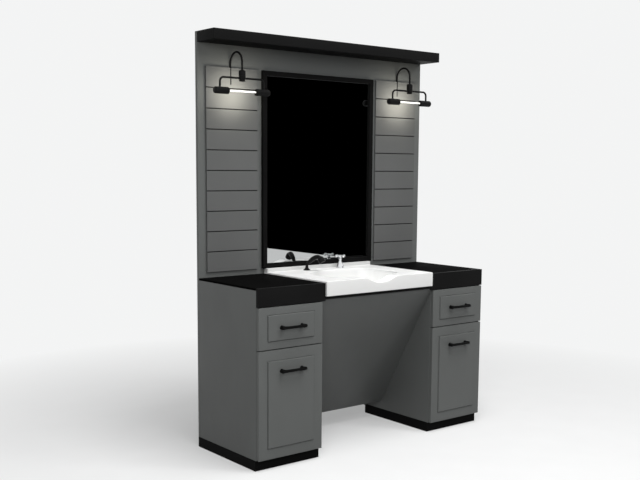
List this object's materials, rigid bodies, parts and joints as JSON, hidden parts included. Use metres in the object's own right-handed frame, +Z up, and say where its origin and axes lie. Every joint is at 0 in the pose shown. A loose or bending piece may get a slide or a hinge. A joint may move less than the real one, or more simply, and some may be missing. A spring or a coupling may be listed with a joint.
{
  "type": "salon wash and styling station",
  "caption": "Grey salon station with storage pedestals, a white basin with a neck dip, a black framed mirror, grooved boards, tube lamps and a black canopy.",
  "frame": {"origin": "centre of the bounding box's underside, on the floor", "axes": "+X to the right as a client faces the mirror, +Y towards the wall, +Z up"},
  "size_m": [1.52, 0.5788, 2.092],
  "materials": {
    "grey_front": "satin grey paint on board",
    "black_board": "satin black on board",
    "raw_board": "plain board",
    "black_metal": "satin black",
    "runner_steel": "zinc plated",
    "bin_plastic": "matte black",
    "white_basin": "gloss white",
    "bright_chrome": "polished",
    "black_plastic": "satin black",
    "silvered_glass": "silvered",
    "lit_tube": "frosted, lit"
  },
  "bodies": {
    "station": {"left_outer_gable": "grey_front", "left_inner_gable": "grey_front", "left_boards": "grey_front", "right_outer_gable": "grey_front", "right_inner_gable": "grey_front", "right_boards": "grey_front", "knee_panel": "grey_front", "back_panel": "grey_front", "left_plinth": "black_board", "left_countertop": "black_board", "left_apron": "black_board", "right_plinth": "black_board", "right_countertop": "black_board", "right_apron": "black_board", "sink_front_rail": "black_board", "canopy": "black_board", "mirror_frame_top": "black_board", "mirror_frame_bottom": "black_board", "mirror_frame_left": "black_board", "mirror_frame_right": "black_board", "left_bottom_board": "raw_board", "right_bottom_board": "raw_board", "sink_rear_rail": "raw_board", "left_lamp_arm": "black_metal", "right_lamp_arm": "black_metal", "left_drawer_runner_outer": "runner_steel", "left_drawer_runner_inner": "runner_steel", "left_hamper_pivot": "runner_steel", "right_drawer_runner_outer": "runner_steel", "right_drawer_runner_inner": "runner_steel", "right_hamper_pivot": "runner_steel", "basin": "white_basin", "basin_bowl": "white_basin", "drain_strainer": "bright_chrome", "waste_trap": "bright_chrome", "mixer_body": "bright_chrome", "sprayer_holder": "black_plastic", "mirror_glass": "silvered_glass"},
    "left_drawer": {"left_drawer_front": "grey_front", "left_drawer_box": "raw_board", "left_drawer_pull": "black_metal"},
    "left_hamper": {"left_hamper_front": "grey_front", "left_hamper_bin": "bin_plastic", "left_hamper_pull": "black_metal"},
    "left_lamp_head": {"left_lamp_yoke": "black_metal", "left_lamp_cap_outer": "black_metal", "left_lamp_cap_inner": "black_metal", "left_lamp_tube": "lit_tube"},
    "right_drawer": {"right_drawer_front": "grey_front", "right_drawer_box": "raw_board", "right_drawer_pull": "black_metal"},
    "right_hamper": {"right_hamper_front": "grey_front", "right_hamper_bin": "bin_plastic", "right_hamper_pull": "black_metal"},
    "right_lamp_head": {"right_lamp_yoke": "black_metal", "right_lamp_cap_outer": "black_metal", "right_lamp_cap_inner": "black_metal", "right_lamp_tube": "lit_tube"},
    "mixer_lever": {"mixer_handle": "bright_chrome"},
    "sprayer": {"hand_sprayer": "black_plastic"}
  },
  "joints": [
    {"name": "left_drawer_slide", "type": "slide", "parent": "station", "child": "left_drawer", "axis": [0, -1, 0], "range_m": [0, 0.38]},
    {"name": "left_hamper_tilt", "type": "hinge", "parent": "station", "child": "left_hamper", "pos_m": [-0.569, -0.22955, 0.062], "axis": [1, 0, 0], "range_deg": [0, 35]},
    {"name": "left_lamp_swivel", "type": "hinge", "parent": "station", "child": "left_lamp_head", "pos_m": [-0.57, 0.15945, 1.85], "axis": [0, 0, 1], "range_deg": [-30, 30]},
    {"name": "right_drawer_slide", "type": "slide", "parent": "station", "child": "right_drawer", "axis": [0, -1, 0], "range_m": [0, 0.38]},
    {"name": "right_hamper_tilt", "type": "hinge", "parent": "station", "child": "right_hamper", "pos_m": [0.569, -0.22955, 0.062], "axis": [1, 0, 0], "range_deg": [0, 35]},
    {"name": "right_lamp_swivel", "type": "hinge", "parent": "station", "child": "right_lamp_head", "pos_m": [0.57, 0.15945, 1.85], "axis": [0, 0, 1], "range_deg": [-30, 30]},
    {"name": "mixer_turn", "type": "hinge", "parent": "station", "child": "mixer_lever", "pos_m": [0.112, 0.21145, 0.945], "axis": [0, 0, 1], "range_deg": [-90, 90]},
    {"name": "sprayer_lift", "type": "slide", "parent": "station", "child": "sprayer", "axis": [0, 0, 1], "range_m": [0, 0.12]}
  ]
}
